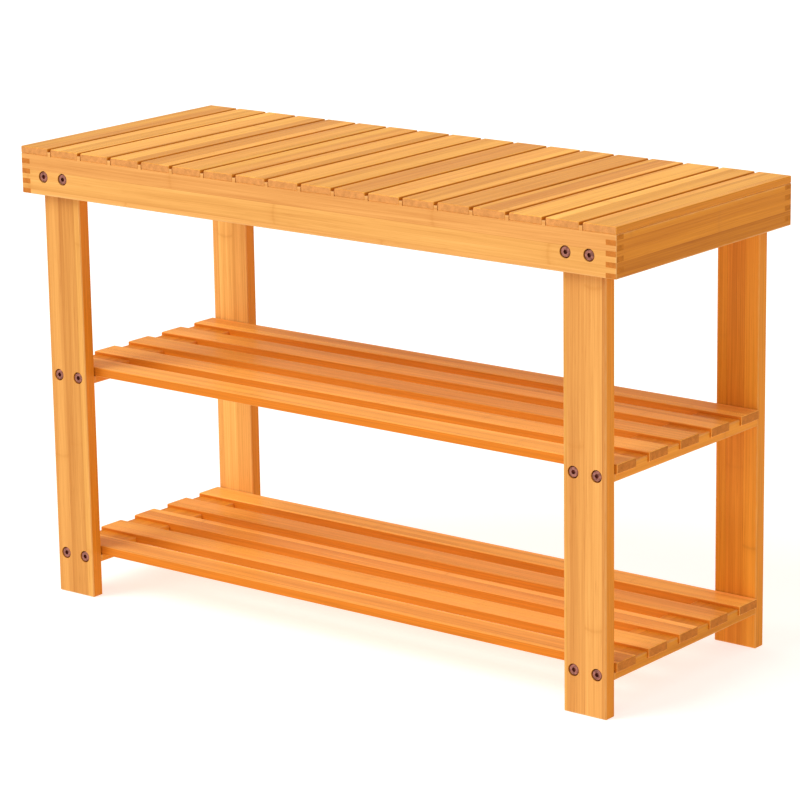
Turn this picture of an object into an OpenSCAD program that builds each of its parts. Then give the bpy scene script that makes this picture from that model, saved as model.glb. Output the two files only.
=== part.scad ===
// Three-tier slatted entryway bench: a finger-jointed seat box with cross slats on top,
// four flat legs bolted inside its aprons, and two open shelves of long slats let into
// cross boards that are bolted between the legs.
// Millimetres. The origin is on the floor under the bench's centre, +X runs along the
// bench to its right end, -Y is its front and +Z is up.

/* [Overall size] */
// Length of the seat from end to end
length = 700; // [500:10:1000]
// Depth of the seat from front to back
depth = 280; // [220:5:400]
// Height of the seat's top above the floor
height = 450; // [380:5:560]

/* [Seat slats] */
// Number of slats across the seat
seat_slat_count = 18; // [12:1:20]
// Thickness of a seat slat
seat_slat_t = 7; // [5:0.2:12]
// Gap between neighbouring seat slats
seat_slat_gap = 4; // [2:0.1:8]
// Height of the aprons' teeth that stand between the ends of the seat slats
slat_tooth_h = 4; // [2:0.1:4.8]

/* [Seat box] */
// Height of the aprons and the end boards
box_h = 39; // [32:0.1:60]
// Thickness of the aprons and the end boards
box_t = 11; // [9:0.1:18]
// Number of interlocking fingers at each corner, from top to bottom
finger_count = 8; // [4:2:12]

/* [Seat bearer] */
// Width of the board that runs lengthwise under the seat slats
bearer_w = 40; // [25:1:80]
// Thickness of that board
bearer_t = 11; // [9:0.1:18]
// Depth of the housings in the end boards that hold its ends
bearer_housing = 5; // [3:0.1:7]

/* [Legs] */
// Width of a leg along the bench
leg_w = 46; // [38:0.1:70]
// Thickness of a leg from front to back
leg_t = 13; // [11:0.1:20]
// Distance from the seat's end to a leg's outer edge
leg_inset = 18; // [14:1:60]

/* [Shelves] */
// Height of the middle shelf's bolts above the floor
middle_shelf_z = 223; // [150:1:300]
// Height of the bottom shelf's bolts above the floor
bottom_shelf_z = 40.5; // [25:0.5:100]
// Thickness of a shelf's cross boards
cross_t = 13; // [12:0.1:20]
// Number of slats in each shelf
shelf_slat_count = 5; // [3:1:6]
// Width of a shelf slat
shelf_slat_w = 30; // [20:1:36]
// Thickness of a shelf slat
shelf_slat_t = 9; // [7.5:0.1:14]
// Depth of the housings in the cross boards that hold the shelf slats
shelf_housing = 6; // [3:0.1:6.5]
// How far the shelf slats run past the legs' outer edges
shelf_overhang = 2; // [0:0.5:10]
// Gap between the outermost shelf slats and the legs
shelf_leg_gap = 1; // [0.5:0.1:4]

/* [Bolts] */
// Thread diameter of the bolts
bolt_d = 6; // [5:0.1:7.5]
// Diameter of a bolt's head
bolt_head_d = 10; // [9:0.1:12]
// Height of a bolt's head
bolt_head_h = 4; // [3:0.1:5]
// Width across the flats of the hex socket
bolt_socket = 4; // [3:0.1:5]
// Depth of the hex socket
bolt_socket_h = 2.6; // [1.5:0.1:3]
// Distance between the two bolts of a pair
bolt_spacing = 25; // [18:0.5:27]
// Height of the top bolts above the aprons' lower edge
apron_bolt_up = 18; // [12:0.5:24]
// Depth of the recess that sinks a bolt's head
head_recess_h = 4.6; // [4:0.1:6]
// How far an apron bolt runs into its leg
apron_bolt_bite = 9.6; // [7:0.1:10]
// How far a shelf bolt runs past its leg into the cross board
shelf_bolt_bite = 11.6; // [9:0.1:16]

/* [Threaded inserts] */
// Wall of an insert around the thread
insert_wall = 1; // [0.8:0.1:1.5]
// Length of the inserts in the legs
leg_insert_l = 10.4; // [10:0.1:10.6]
// Length of the inserts in the cross boards
cross_insert_l = 14; // [12:0.5:20]

/* [Wood screws] */
// Shank diameter of the screws that hold the slats from below
screw_d = 3; // [2.5:0.1:4]
// Diameter of their countersunk heads
screw_head_d = 6; // [5:0.1:7]
// How far a screw runs into a seat slat
seat_screw_bite = 4.6; // [3:0.1:4.8]
// How far a screw runs into a shelf slat
shelf_screw_bite = 6; // [4:0.1:7]

/* [Finish] */
// Chamfer on the arrises of the seat box and the slats
arris = 0.6; // [0.2:0.1:1.2]
// Chamfer on the arrises of the legs and the cross boards
leg_arris = 0.9; // [0.2:0.1:1.5]

/* [Clearances] */
// Extra radius of a hole that a bolt passes through
bolt_clearance = 0.3; // [0.1:0.05:0.5]
// Extra radius of a recess around a bolt's head
head_clearance = 0.8; // [0.3:0.05:1]
// Gap on each side between a bolt and its insert's thread
thread_clearance = 0.05; // [0.02:0.01:0.1]
// Gap on each side of a slat or bearer in its housing
housing_clearance = 0.1; // [0.05:0.01:0.3]
// Extra depth of a blind hole past its insert
hole_run_out = 1; // [0.5:0.1:1.4]
// How far a screw's head sits below the board's surface
screw_sink = 0.3; // [0.1:0.05:1]

/* [Hidden] */
// Sides of the fasteners' round faces
$fn = 48;
// Cutting tools reach this far past the faces that they cut
over = 1;

// Seat
slat_underside_z = height - seat_slat_t;
box_bottom_z = slat_underside_z - box_h;
finger_h = box_h / finger_count;
seat_slat_w = (length - (seat_slat_count - 1) * seat_slat_gap) / seat_slat_count;
seat_slat_pitch = seat_slat_w + seat_slat_gap;
bearer_l = length - 2 * (box_t - bearer_housing + housing_clearance);

// Legs: the right front leg's centre, mirrored for the other three
leg_x = length / 2 - leg_inset - leg_w / 2;
leg_outer_y = depth / 2 - box_t;
leg_inner_y = leg_outer_y - leg_t;

// Shelves
shelf_slat_l = 2 * (leg_x + leg_w / 2 + shelf_overhang);
outer_slat_y = leg_inner_y - shelf_leg_gap - shelf_slat_w / 2;
shelf_slat_pitch = 2 * outer_slat_y / (shelf_slat_count - 1);
shelf_slat_seat = cross_t / 2 - shelf_housing;

// Fasteners
bolt_r = bolt_d / 2;
bolt_hole_r = bolt_r + bolt_clearance;
head_recess_r = bolt_head_d / 2 + head_clearance;
thread_r = bolt_r + thread_clearance;
insert_r = thread_r + insert_wall;
insert_groove = insert_wall / 3;
apron_bolt_z = box_bottom_z + apron_bolt_up;
apron_bolt_l = box_t - head_recess_h + apron_bolt_bite;
shelf_bolt_l = leg_t - head_recess_h + shelf_bolt_bite;
screw_r = screw_d / 2;
screw_head_r = screw_head_d / 2;
seat_screw_l = bearer_t - screw_sink + seat_screw_bite;
shelf_screw_l = cross_t - shelf_housing - screw_sink + shelf_screw_bite;

// Light bamboo for what faces up, deeper tones for end grain and shaded boards
bamboo_light = [0.93, 0.68, 0.40];
bamboo_mid = [0.88, 0.58, 0.30];
bamboo_deep = [0.80, 0.50, 0.25];
steel_dark = [0.28, 0.24, 0.24];
brass_tone = [0.80, 0.66, 0.32];
zinc_tone = [0.72, 0.70, 0.64];

function two_digits(n) = n < 10 ? str("0", n) : str(n);
function seat_slat_name(n) = str("seat_slat_", two_digits(n));
function shelf_slat_name(tier, n) = str(tier, "_shelf_slat_", n);
function seat_slat_x(n) = (n - (seat_slat_count + 1) / 2) * seat_slat_pitch;
function shelf_slat_y(n) = (n - (shelf_slat_count + 1) / 2) * shelf_slat_pitch;
function tier_z(tier) = tier == "middle" ? middle_shelf_z : bottom_shelf_z;

TIERS = ["middle", "bottom"];

// ---- Boards ----

// Rectangle with its low corner at the origin and its corners cut at 45 degrees
module cut_rectangle(w, h, cut) {
    polygon([
        [cut, 0], [w - cut, 0], [w, cut], [w, h - cut],
        [w - cut, h], [cut, h], [0, h - cut], [0, cut]
    ]);
}

// Board of the given size, centred in plan and standing on z = 0, with every arris chamfered
module board(size, cut) {
    translate([-size.x / 2, -size.y / 2, 0])
        intersection() {
            linear_extrude(size.z) cut_rectangle(size.x, size.y, cut);
            translate([0, size.y, 0]) rotate([90, 0, 0])
                linear_extrude(size.y) cut_rectangle(size.x, size.z, cut);
            rotate([90, 0, 90]) linear_extrude(size.x) cut_rectangle(size.y, size.z, cut);
        }
}

// Copies its children to both signs of x
module left_and_right() {
    children();
    mirror([1, 0, 0]) children();
}

// Copies its children to both signs of y
module front_and_back() {
    children();
    mirror([0, 1, 0]) children();
}

// Places its children at both bolts of each pair that a front or back board takes
module at_bolt_columns() {
    left_and_right()
        for (side = [-1, 1])
            translate([leg_x + side * bolt_spacing / 2, 0, 0]) children();
}

// Cylinder along +Y that starts at the given y
module cylinder_along_y(r, y, l) {
    translate([0, y, 0]) rotate([-90, 0, 0]) cylinder(r = r, h = l);
}

// ---- Seat box ----

// The whole seat box's outer block, whose arrises the four boards share
module seat_box_block() {
    translate([0, 0, box_bottom_z]) board([length, depth, box_h], arris);
}

// Fingers of one kind at the right front corner: parity 0 is the top finger and every
// second one below it, parity 1 the ones between
module corner_fingers(parity) {
    for (n = [parity : 2 : finger_count - 1])
        translate([length / 2 - box_t, -depth / 2 - over, slat_underside_z - (n + 1) * finger_h])
            cube([box_t + over, box_t + over, finger_h]);
}

// Bolt holes through the front apron, with a recess for each head
module apron_bolt_holes() {
    at_bolt_columns() translate([0, 0, apron_bolt_z]) {
        cylinder_along_y(bolt_hole_r, -depth / 2 - over, box_t + 2 * over);
        cylinder_along_y(head_recess_r, -depth / 2 - over, head_recess_h + over);
    }
}

// Teeth on the front apron's top edge, one in each gap between the ends of the seat slats
module slat_teeth() {
    tooth_w = seat_slat_gap - 2 * housing_clearance;
    for (n = [1 : seat_slat_count - 1])
        translate([
            seat_slat_x(n) + seat_slat_pitch / 2 - tooth_w / 2,
            -depth / 2,
            slat_underside_z - over
        ])
            cube([tooth_w, box_t, over + slat_tooth_h]);
}

module front_apron() {
    color(bamboo_light) {
        difference() {
            intersection() {
                seat_box_block();
                translate([-length / 2 - over, -depth / 2 - over, box_bottom_z - over])
                    cube([length + 2 * over, box_t + over, box_h + 2 * over]);
            }
            left_and_right() corner_fingers(1);
            apron_bolt_holes();
        }
        slat_teeth();
    }
}

module back_apron() {
    mirror([0, 1, 0]) front_apron();
}

// Board across the seat box's right end, with a housing open at the top for the bearer
module right_end_board() {
    color(bamboo_deep) difference() {
        intersection() {
            seat_box_block();
            translate([length / 2 - box_t, -depth / 2 - over, box_bottom_z - over])
                cube([box_t + over, depth + 2 * over, box_h + 2 * over]);
        }
        front_and_back() corner_fingers(0);
        translate([
            length / 2 - box_t - over,
            -bearer_w / 2 - housing_clearance,
            slat_underside_z - bearer_t
        ])
            cube([bearer_housing + over, bearer_w + 2 * housing_clearance, bearer_t + over]);
    }
}

module left_end_board() {
    mirror([1, 0, 0]) right_end_board();
}

// ---- Seat slats and their bearer ----

// Board across the bench, from the front face to the back face of the seat box
module seat_slat(n) {
    color(n % 2 == 0 ? bamboo_light : bamboo_mid)
        difference() {
            translate([seat_slat_x(n), 0, slat_underside_z])
                board([seat_slat_w, depth, seat_slat_t], arris);
            translate([seat_slat_x(n), 0, slat_underside_z - over])
                cylinder(r = screw_r, h = seat_screw_bite + over);
        }
}

module seat_bearer() {
    color(bamboo_mid) difference() {
        translate([0, 0, slat_underside_z - bearer_t])
            board([bearer_l, bearer_w, bearer_t], arris);
        for (n = [1 : seat_slat_count])
            translate([seat_slat_x(n), 0, slat_underside_z - bearer_t]) screw_hole(bearer_t);
    }
}

// ---- Legs ----

// The front right leg, with its two inserts' holes at the top and its shelf bolts' holes
module front_right_leg() {
    color(bamboo_mid) difference() {
        translate([leg_x, -leg_outer_y + leg_t / 2, 0])
            board([leg_w, leg_t, slat_underside_z], leg_arris);
        at_bolt_columns() {
            translate([0, 0, apron_bolt_z])
                cylinder_along_y(insert_r, -leg_outer_y - over, leg_insert_l + hole_run_out + over);
            for (tier = TIERS) translate([0, 0, tier_z(tier)]) {
                cylinder_along_y(bolt_hole_r, -leg_outer_y - over, leg_t + 2 * over);
                cylinder_along_y(head_recess_r, -leg_outer_y - over, head_recess_h + over);
            }
        }
    }
}

module front_left_leg() {
    mirror([1, 0, 0]) front_right_leg();
}

module back_right_leg() {
    mirror([0, 1, 0]) front_right_leg();
}

module back_left_leg() {
    mirror([0, 1, 0]) front_left_leg();
}

// ---- Shelves ----

// Blind holes for the inserts, drilled into a shelf's front and back edges at z = 0 once its
// slats are in, so they run partly in the cross boards and partly in the outermost slats
module shelf_insert_holes() {
    front_and_back() at_bolt_columns()
        cylinder_along_y(
            insert_r, -leg_inner_y - over,
            over + shelf_leg_gap + cross_insert_l + hole_run_out
        );
}

// Board across the bench between two legs, with a housing for each shelf slat
module shelf_cross_board(tier) {
    color(bamboo_deep) translate([0, 0, tier_z(tier)]) difference() {
        translate([leg_x, 0, -cross_t / 2])
            board([leg_w, 2 * leg_inner_y, cross_t], leg_arris);
        for (n = [1 : shelf_slat_count]) {
            translate([leg_x - leg_w / 2 - over, shelf_slat_y(n), shelf_slat_seat])
                shelf_slat_housing(n);
            translate([leg_x, shelf_slat_y(n), -cross_t / 2])
                screw_hole(cross_t - shelf_housing);
        }
        shelf_insert_holes();
    }
}

// Space cut for one shelf slat: the outermost two run out through the cross board's ends
module shelf_slat_housing(n) {
    half_w = shelf_slat_w / 2 + housing_clearance;
    low_y = n == 1 ? -half_w - shelf_leg_gap - over : -half_w;
    high_y = n == shelf_slat_count ? half_w + shelf_leg_gap + over : half_w;
    translate([0, low_y, 0]) cube([leg_w + 2 * over, high_y - low_y, cross_t]);
}

// Long board of a shelf, resting in the housings of both cross boards
module shelf_slat(tier, n) {
    color(n % 2 == 0 ? bamboo_mid : bamboo_light)
        translate([0, 0, tier_z(tier)]) difference() {
            translate([0, shelf_slat_y(n), shelf_slat_seat])
                board([shelf_slat_l, shelf_slat_w, shelf_slat_t], arris);
            left_and_right() translate([leg_x, shelf_slat_y(n), shelf_slat_seat - over])
                cylinder(r = screw_r, h = shelf_screw_bite + over);
            shelf_insert_holes();
        }
}

// ---- Fasteners ----

// Bolt along +Y with its head's underside at the origin: a chamfered low head with a hex
// socket, and a plain shank
module bolt(l) {
    edge = bolt_head_h / 8;
    tip = bolt_r / 4;
    across_corners_r = bolt_socket / 2 / cos(30);
    rotate([-90, 0, 0]) difference() {
        rotate_extrude() polygon([
            [0, -bolt_head_h], [bolt_head_d / 2 - edge, -bolt_head_h],
            [bolt_head_d / 2, -bolt_head_h + edge], [bolt_head_d / 2, 0],
            [bolt_r, 0], [bolt_r, l - tip], [bolt_r - tip, l], [0, l]
        ]);
        translate([0, 0, -bolt_head_h - over])
            cylinder(r = across_corners_r, h = bolt_socket_h + over, $fn = 6);
    }
}

module apron_bolts() {
    color(steel_dark)
        front_and_back() at_bolt_columns()
            translate([0, -depth / 2 + head_recess_h, apron_bolt_z]) bolt(apron_bolt_l);
}

module shelf_bolts(tier) {
    color(steel_dark)
        front_and_back() at_bolt_columns()
            translate([0, -leg_outer_y + head_recess_h, tier_z(tier)]) bolt(shelf_bolt_l);
}

// Threaded sleeve along +Y from the origin, with a groove between two gripping bands
module insert(l) {
    rotate([-90, 0, 0]) rotate_extrude() polygon([
        [thread_r, 0], [insert_r, 0], [insert_r, l / 3], [insert_r - insert_groove, l / 3 + insert_groove],
        [insert_r - insert_groove, 2 * l / 3 - insert_groove], [insert_r, 2 * l / 3],
        [insert_r, l], [thread_r, l]
    ]);
}

module leg_inserts() {
    color(brass_tone)
        front_and_back() at_bolt_columns()
            translate([0, -leg_outer_y, apron_bolt_z]) insert(leg_insert_l);
}

module shelf_inserts(tier) {
    color(brass_tone)
        front_and_back() at_bolt_columns()
            translate([0, -leg_inner_y + shelf_leg_gap, tier_z(tier)]) insert(cross_insert_l);
}

// Screw pointing up with its flat head at the origin, and a plain shank with a pointed tip
module wood_screw(l) {
    head_h = screw_head_r - screw_r;
    rotate_extrude() polygon([
        [0, 0], [screw_head_r, 0], [screw_r, head_h], [screw_r, l - screw_d], [0, l]
    ]);
}

// Hole for a screw through a board of the given thickness that stands on z = 0
module screw_hole(t) {
    head_h = screw_head_r - screw_r;
    translate([0, 0, -over]) cylinder(r = screw_head_r, h = over + screw_sink);
    translate([0, 0, screw_sink]) cylinder(r1 = screw_head_r, r2 = screw_r, h = head_h);
    translate([0, 0, -over]) cylinder(r = screw_r, h = t + 2 * over);
}

module seat_slat_screws() {
    color(zinc_tone)
        for (n = [1 : seat_slat_count])
            translate([seat_slat_x(n), 0, slat_underside_z - bearer_t + screw_sink])
                wood_screw(seat_screw_l);
}

module shelf_screws(tier) {
    color(zinc_tone)
        left_and_right() for (n = [1 : shelf_slat_count])
            translate([leg_x, shelf_slat_y(n), tier_z(tier) - cross_t / 2 + screw_sink])
                wood_screw(shelf_screw_l);
}

// ---- The bench ----

front_apron();
back_apron();
left_end_board();
right_end_board();
seat_bearer();
for (n = [1 : seat_slat_count])
    seat_slat(n);
front_left_leg();
front_right_leg();
back_left_leg();
back_right_leg();
mirror([1, 0, 0]) shelf_cross_board("middle");  // middle_shelf_left_cross_board
shelf_cross_board("middle");  // middle_shelf_right_cross_board
mirror([1, 0, 0]) shelf_cross_board("bottom");  // bottom_shelf_left_cross_board
shelf_cross_board("bottom");  // bottom_shelf_right_cross_board
for (tier = TIERS, n = [1 : shelf_slat_count])
    shelf_slat(tier, n);
apron_bolts();
shelf_bolts("middle");  // middle_shelf_bolts
shelf_bolts("bottom");  // bottom_shelf_bolts
leg_inserts();
shelf_inserts("middle");  // middle_shelf_inserts
shelf_inserts("bottom");  // bottom_shelf_inserts
seat_slat_screws();
shelf_screws("middle");  // middle_shelf_screws
shelf_screws("bottom");  // bottom_shelf_screws
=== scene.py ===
"""Slatted bamboo entryway bench: rounded slats, bamboo and metal finishes, and a plain studio.

The bench's frame is loaded first. Its boards with fingers, housings and bolt holes stay as
they are and get their finishes. Its slats, whose only holes are hidden, are made again as
boards with rounded arrises and without those holes.
"""

import math

import bmesh
import bpy
import numpy as np
from bpy.props import FloatProperty, FloatVectorProperty, IntProperty, PointerProperty
from mathutils import Matrix, Vector


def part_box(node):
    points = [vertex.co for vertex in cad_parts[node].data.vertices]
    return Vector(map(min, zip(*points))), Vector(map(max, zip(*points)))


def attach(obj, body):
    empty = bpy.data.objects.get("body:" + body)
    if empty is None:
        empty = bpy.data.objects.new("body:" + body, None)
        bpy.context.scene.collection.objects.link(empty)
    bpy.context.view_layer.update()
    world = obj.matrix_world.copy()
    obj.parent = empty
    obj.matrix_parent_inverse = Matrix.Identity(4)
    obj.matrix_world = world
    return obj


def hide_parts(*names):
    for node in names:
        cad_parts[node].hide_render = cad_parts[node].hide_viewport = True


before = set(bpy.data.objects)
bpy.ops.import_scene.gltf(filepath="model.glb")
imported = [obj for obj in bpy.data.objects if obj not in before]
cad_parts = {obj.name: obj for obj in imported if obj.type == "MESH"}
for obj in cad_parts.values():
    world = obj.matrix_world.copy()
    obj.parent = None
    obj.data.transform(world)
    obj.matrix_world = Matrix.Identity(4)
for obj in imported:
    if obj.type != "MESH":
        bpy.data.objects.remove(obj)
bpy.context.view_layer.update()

bl_info = {
    "name": "Slatted bamboo bench",
    "version": (1, 0, 0),
    "blender": (4, 5, 0),
    "location": "3D View > Sidebar > Bench",
    "description": "Finishes a slatted bamboo bench: slats, boards, fasteners and a studio",
    "category": "Object",
}

MM = 0.001

SEAT_SLATS = sorted(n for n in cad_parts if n.startswith("seat_slat_") and n[-1].isdigit())
SHELF_SLATS = sorted(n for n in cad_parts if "_shelf_slat_" in n)
LEGS = ("front_left_leg", "front_right_leg", "back_left_leg", "back_right_leg")
APRONS = ("front_apron", "back_apron")
END_BOARDS = ("left_end_board", "right_end_board")
CROSS_BOARDS = tuple(
    f"{tier}_shelf_{side}_cross_board"
    for tier in ("middle", "bottom")
    for side in ("left", "right")
)
BOLTS = ("apron_bolts", "middle_shelf_bolts", "bottom_shelf_bolts")
INSERTS = ("leg_inserts", "middle_shelf_inserts", "bottom_shelf_inserts")
SCREWS = ("seat_slat_screws", "middle_shelf_screws", "bottom_shelf_screws")

# Places along, across and through a board, as the axes of the frame, for each direction of grain
GRAIN_X = ("X", "Y", "Z")
GRAIN_Y = ("Y", "X", "Z")
GRAIN_Z = ("Z", "X", "Y")


def upright(grain):
    """The same grain with across and through swapped, for a board that stands on its edge."""
    return (grain[0], grain[2], grain[1])


def axis_vector(axis):
    """Unit vector along the named axis."""
    return tuple(1.0 if name == axis else 0.0 for name in "XYZ")


# ---- Settings ----


def colour(name, description, default):
    """A colour that a user can change."""
    return FloatVectorProperty(
        name=name, description=description, default=default,
        size=3, min=0.0, max=1.0, subtype="COLOR",
    )


class BoardSettings(bpy.types.PropertyGroup):
    """Sizes of the boards' rounding and of the bamboo's figure."""

    seat_arris: FloatProperty(
        name="Seat arris", description="Radius of a seat slat's arrises",
        default=1.1 * MM, min=0.2 * MM, max=3 * MM, unit="LENGTH",
    )
    shelf_arris: FloatProperty(
        name="Shelf arris", description="Radius of a shelf slat's arrises",
        default=1.3 * MM, min=0.2 * MM, max=4 * MM, unit="LENGTH",
    )
    arc_steps: IntProperty(
        name="Arc steps", description="Faces round a quarter of an arris", default=5, min=2, max=12
    )
    strip_width: FloatProperty(
        name="Strip width", description="Width of the bamboo strips glued side by side in a board",
        default=19 * MM, min=5 * MM, max=50 * MM, unit="LENGTH",
    )
    joint_spacing: FloatProperty(
        name="Joint spacing", description="Distance between the joints of the bamboo's stem",
        default=310 * MM, min=100 * MM, max=600 * MM, unit="LENGTH",
    )
    joint_width: FloatProperty(
        name="Joint width", description="Width of a stem joint's mark across a strip",
        default=2.6 * MM, min=1 * MM, max=8 * MM, unit="LENGTH",
    )


class BambooSettings(bpy.types.PropertyGroup):
    """Colours of the lacquered bamboo, piece by piece, some lightened or deepened as painted light and
    shade.
    """

    # Lighter than the aprons: painted light on the seat's top, which the studio light leaves dimmer
    # than the fronts
    seat: colour("Seat slats", "Bamboo of the seat slats", (0.865, 0.402, 0.079))
    apron: colour("Aprons", "Bamboo of the aprons", (0.640, 0.288, 0.074))
    # Deeper and redder than the aprons: painted shade, copying the dim saturated light on the bench's
    # end faces
    end_board: colour("End boards", "Bamboo of the end boards", (0.565, 0.196, 0.014))
    leg: colour("Front legs", "Bamboo of the front legs", (0.640, 0.292, 0.068))
    # Lighter than the front legs: painted light on the back left leg, which the bench's own shade
    # would dim
    back_left_leg: colour("Back left leg", "Bamboo of the back left leg", (0.790, 0.395, 0.103))
    # Redder with less blue than the front legs: painted shade from the seat and shelves above it
    back_right_leg: colour(
        "Back right leg", "Bamboo of the back right leg", (0.740, 0.275, 0.030)
    )
    # Darker and redder: partly the edge grain's own colour, partly painted shade on the sides turned
    # from the key light
    leg_edge: colour("Leg edges", "Narrow sides of the legs", (0.690, 0.238, 0.020))
    cross_board: colour("Cross boards", "Bamboo of the cross boards", (0.680, 0.240, 0.022))
    # Lighter than the seat: painted light on the shelves, which the seat above keeps in shade
    shelf: colour("Shelf slats", "Bamboo of the shelf slats", (0.930, 0.425, 0.090))
    bearer: colour("Bearer", "Bamboo of the bearer under the seat", (0.600, 0.270, 0.075))
    end_grain: colour("End grain", "Cut ends of the boards", (0.530, 0.175, 0.030))
    slat_end: colour("Slat ends", "Cut ends of the seat slats", (0.640, 0.275, 0.082))
    apron_end: colour("Apron ends", "Cut ends of the aprons' fingers", (0.500, 0.165, 0.018))
    # Darker and redder: partly the edge grain's own colour, partly painted shade in the gaps between
    # the slats
    seat_edge: colour(
        "Seat slat edges", "Narrow edges of the seat slats", (0.620, 0.215, 0.018)
    )
    # Darker and redder: partly the edge grain's own colour, partly painted shade under the seat
    shelf_edge: colour(
        "Shelf slat edges", "Narrow edges of the shelf slats", (0.650, 0.188, 0.015)
    )
    joint_mark: colour("Stem joints", "Marks of the stem's joints", (0.480, 0.165, 0.022))


class MetalSettings(bpy.types.PropertyGroup):
    """Colours of the fasteners."""

    bolt: colour("Bolts", "Dark bronzed steel of the bolts", (0.400, 0.165, 0.130))
    insert: colour("Inserts", "Brass of the threaded inserts", (0.600, 0.400, 0.110))
    screw: colour("Screws", "Zinc plate of the wood screws", (0.480, 0.460, 0.400))


class StageSettings(bpy.types.PropertyGroup):
    """Floor, lights and camera."""

    floor_radius: FloatProperty(
        name="Floor radius", description="Radius of the floor", default=40.0, min=2.0, unit="LENGTH"
    )
    floor: colour("Floor", "Colour of the floor", (0.60, 0.60, 0.60))
    floor_glow: FloatProperty(
        name="Floor glow", description="Light that a lit studio floor gives off", default=0.62, min=0.0
    )
    sky: FloatProperty(
        name="Sky", description="Strength of the even light from all around", default=0.75, min=0.0
    )
    sky_colour: colour("Sky colour", "Colour of the even light", (1.0, 0.91, 0.78))
    key: FloatProperty(
        name="Key", description="Strength of the key light at the bench's front left",
        default=1.9, min=0.0,
    )
    key_colour: colour("Key colour", "Colour of the key light", (0.93, 0.97, 1.0))
    key_softness: FloatProperty(
        name="Key softness", description="How wide the key light looks from the bench",
        default=math.radians(36.0), min=0.0, max=math.pi, subtype="ANGLE",
    )
    key_from: FloatVectorProperty(
        name="Key from", description="Direction in which the key light stands",
        default=(-0.46, -0.62, 0.64), size=3, subtype="DIRECTION",
    )
    camera_place: FloatVectorProperty(
        name="Camera place", description="Where the camera stands",
        default=(1.99528, -2.52254, 1.04606), size=3, subtype="TRANSLATION", unit="LENGTH",
    )
    camera_azimuth: FloatProperty(
        name="Camera azimuth", description="Turn of the camera from facing the bench's front",
        default=math.radians(38.304), subtype="ANGLE",
    )
    camera_tilt: FloatProperty(
        name="Camera tilt", description="How far the camera looks down",
        default=math.radians(14.451), subtype="ANGLE",
    )
    camera_roll: FloatProperty(
        name="Camera roll", description="Turn of the camera about its own axis",
        default=math.radians(-0.883), subtype="ANGLE",
    )
    lens: FloatProperty(
        name="Lens", description="Focal length in millimetres", default=156.37, min=20.0, max=400.0
    )


class BenchSettings(bpy.types.PropertyGroup):
    """All of the bench's settings."""

    board: PointerProperty(type=BoardSettings)
    bamboo: PointerProperty(type=BambooSettings)
    metal: PointerProperty(type=MetalSettings)
    stage: PointerProperty(type=StageSettings)


# ---- Surfaces ----

# Points closer than this are the same point
SAME_POINT = 1e-7

# Corners round the end of a board
CORNERS = 4


def rounded_board(low, high, radius, steps):
    """Closed surface of a board whose twelve arrises are rounded.

    A direction runs round a sphere, with longitude as the first parameter and latitude as the
    second. Each point is the corner of the board's inner box (the board shrunk by the radius)
    on the direction's side, plus the radius times the direction. Both parameters stop twice
    where the direction changes side, once for each corner, and the faces between the two
    stops are the board's flats. Returns the points and the quads.
    """
    quarter = np.linspace(0.0, math.pi / 2, steps + 1)
    longitude = np.concatenate([quarter + k * math.pi / 2 for k in range(CORNERS)])
    side = np.repeat(np.array([[1, 1], [-1, 1], [-1, -1], [1, -1]], float), steps + 1, axis=0)
    latitude = np.concatenate([quarter - math.pi / 2, quarter])
    height_side = np.repeat([-1.0, 1.0], steps + 1)

    lat, lon = np.meshgrid(latitude, longitude, indexing="ij")
    direction = np.stack(
        [np.cos(lat) * np.cos(lon), np.cos(lat) * np.sin(lon), np.sin(lat)], axis=-1
    )
    corner = np.empty_like(direction)
    corner[..., 0] = side[:, 0]
    corner[..., 1] = side[:, 1]
    corner[..., 2] = height_side[:, None]

    centre = (high + low) / 2
    inner = (high - low) / 2 - radius
    points = (centre + corner * inner + radius * direction).reshape(-1, 3)

    rows, columns = direction.shape[:2]
    here = np.arange(rows * columns).reshape(rows, columns)
    along = np.roll(here, -1, axis=1)
    quads = np.stack([here[:-1], along[:-1], along[1:], here[1:]], axis=-1).reshape(-1, 4)
    return points, quads


def board_mesh(name, low, high, radius, steps, tone, shift):
    """Mesh of one rounded board. It carries its tone and the shift of its figure along the
    grain as attributes that its finish reads."""
    points, quads = rounded_board(np.array(low), np.array(high), radius, steps)
    mesh = bpy.data.meshes.new(name)

    # The first and last rows each fold onto four points, which the flat ends then close
    ring = CORNERS * (steps + 1)
    first = np.arange(ring).reshape(CORNERS, -1)[:, 0]
    last = len(points) - ring + first
    faces = quads.tolist() + [first[::-1].tolist(), last.tolist()]
    mesh.from_pydata(points.tolist(), [], faces)
    merge_folded_points(mesh)
    for key, value in (("board_tone", tone), ("figure_shift", shift)):
        mesh.attributes.new(key, "FLOAT", "POINT").data.foreach_set(
            "value", np.full(len(mesh.vertices), value, dtype=np.float32)
        )
    mesh.polygons.foreach_set("use_smooth", np.ones(len(mesh.polygons), dtype=bool))
    mesh.normals_split_custom_set_from_vertices(board_normals(mesh, low, high, radius))
    return mesh


def merge_folded_points(mesh):
    """Joins the points that fall together at the board's two flat ends."""
    form = bmesh.new()
    form.from_mesh(mesh)
    bmesh.ops.remove_doubles(form, verts=form.verts, dist=SAME_POINT)
    bmesh.ops.recalc_face_normals(form, faces=form.faces)
    form.to_mesh(mesh)
    form.free()


def board_normals(mesh, low, high, radius):
    """Direction of each point from the nearest point of the board's inner box."""
    points = np.empty(len(mesh.vertices) * 3, dtype=np.float32)
    mesh.vertices.foreach_get("co", points)
    points = points.reshape(-1, 3).astype(float)
    nearest = np.clip(points, np.array(low) + radius, np.array(high) - radius)
    away = points - nearest
    return (away / np.linalg.norm(away, axis=1, keepdims=True)).tolist()


# ---- Node groups ----

# Space between the nodes of a tree, and how many rows they stand in
NODE_STEP = 180
ROW_STEP = 160
ROWS = 3

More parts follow.
